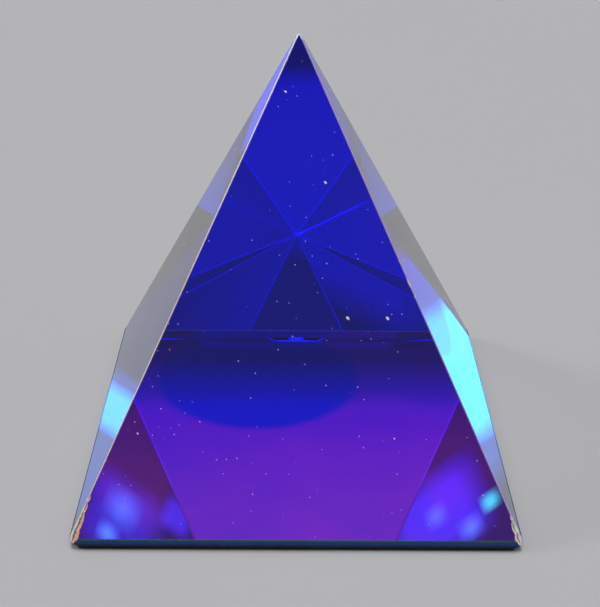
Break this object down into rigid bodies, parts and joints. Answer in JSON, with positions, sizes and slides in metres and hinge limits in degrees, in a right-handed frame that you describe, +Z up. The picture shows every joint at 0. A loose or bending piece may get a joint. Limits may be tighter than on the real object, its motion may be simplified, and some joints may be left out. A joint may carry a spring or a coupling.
{
  "type": "glass pyramid ornament",
  "caption": "Solid polished glass pyramid with a mirror-like blue and violet colour coat on its base, for standing on a desk or shelf.",
  "frame": {"origin": "centre of the resting face, on the table under the apex", "axes": "+Z up through the apex, -Y out of the front face with the two chipped corners, +X to the right seen from the front"},
  "size_m": [0.05, 0.05, 0.0513],
  "materials": {
    "clear_glass": "polished",
    "color_film": "vacuum-deposited interference colour, blue to violet",
    "backing_lacquer": "satin lacquer"
  },
  "bodies": {
    "root": {"glass_pyramid": "clear_glass", "color_film": "color_film", "backing_lacquer": "backing_lacquer"}
  },
  "joints": []
}
